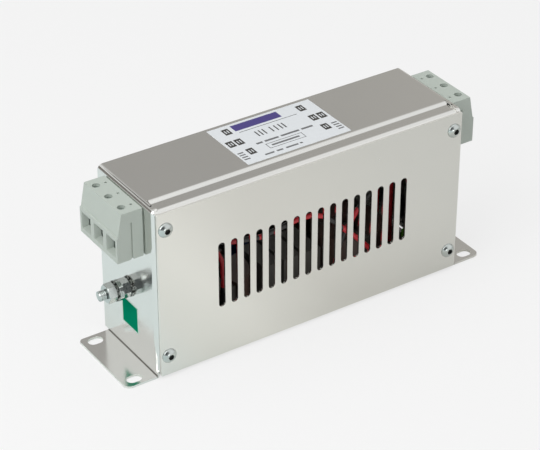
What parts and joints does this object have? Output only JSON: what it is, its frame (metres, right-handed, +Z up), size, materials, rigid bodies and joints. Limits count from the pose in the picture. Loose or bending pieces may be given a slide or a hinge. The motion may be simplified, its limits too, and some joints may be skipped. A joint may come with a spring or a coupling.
{
  "type": "emi line filter",
  "caption": "Folded sheet-metal case with a vented front cover, screw terminal blocks and earth studs at both ends, and slotted mounting feet",
  "frame": {"origin": "centre of the four foot slots, in the plane that the feet stand on", "axes": "+X from the line end to the load end, +Y from the vented cover to the rear, +Z up"},
  "size_m": [0.2412, 0.0617, 0.1065],
  "materials": {
    "case_steel": "satin",
    "zinc_steel": "satin",
    "grey_plastic": "matt",
    "brass": "satin",
    "copper": "enamelled",
    "green_yellow_insulation": "matt",
    "red_insulation": "matt",
    "green_sticker": "matt",
    "white_label": "matt",
    "board": "satin",
    "insulation": "matt",
    "black_plastic": "matt",
    "core_coating": "matt",
    "resistor_body": "matt",
    "blue_ceramic": "gloss"
  },
  "bodies": {
    "root": {"chassis": "case_steel", "rear_tray": "case_steel", "front_cover": "case_steel", "cover_screws": "zinc_steel", "line_terminal_housing": "grey_plastic", "load_terminal_housing": "grey_plastic", "terminal_screws": "zinc_steel", "earth_studs": "zinc_steel", "earth_nuts": "zinc_steel", "earth_tooth_washers": "zinc_steel", "earth_plain_washers": "zinc_steel", "line_earth_lug": "brass", "load_earth_lug": "brass", "line_earth_lead": "green_yellow_insulation", "load_earth_lead": "green_yellow_insulation", "line_earth_sticker": "green_sticker", "load_earth_sticker": "green_sticker", "rating_label": "white_label", "circuit_board": "board", "insulation_sheet": "insulation", "board_standoffs": "brass", "board_screws": "zinc_steel", "line_choke_base": "black_plastic", "load_choke_base": "black_plastic", "line_choke_core": "core_coating", "load_choke_core": "core_coating", "bleed_resistors": "resistor_body", "clamp_cage_1": "zinc_steel", "terminal_bar_1": "brass", "hookup_wire_1": "red_insulation", "clamp_cage_2": "zinc_steel", "terminal_bar_2": "brass", "hookup_wire_2": "red_insulation", "clamp_cage_3": "zinc_steel", "terminal_bar_3": "brass", "hookup_wire_3": "red_insulation", "clamp_cage_4": "zinc_steel", "terminal_bar_4": "brass", "hookup_wire_4": "red_insulation", "clamp_cage_5": "zinc_steel", "terminal_bar_5": "brass", "hookup_wire_5": "red_insulation", "clamp_cage_6": "zinc_steel", "terminal_bar_6": "brass", "hookup_wire_6": "red_insulation", "line_winding_1": "copper", "load_winding_1": "copper", "x_capacitor_1": "black_plastic", "y_capacitor_1": "blue_ceramic", "line_winding_2": "copper", "load_winding_2": "copper", "x_capacitor_2": "black_plastic", "y_capacitor_2": "blue_ceramic", "line_winding_3": "copper", "load_winding_3": "copper", "x_capacitor_3": "black_plastic", "y_capacitor_3": "blue_ceramic"}
  },
  "joints": []
}
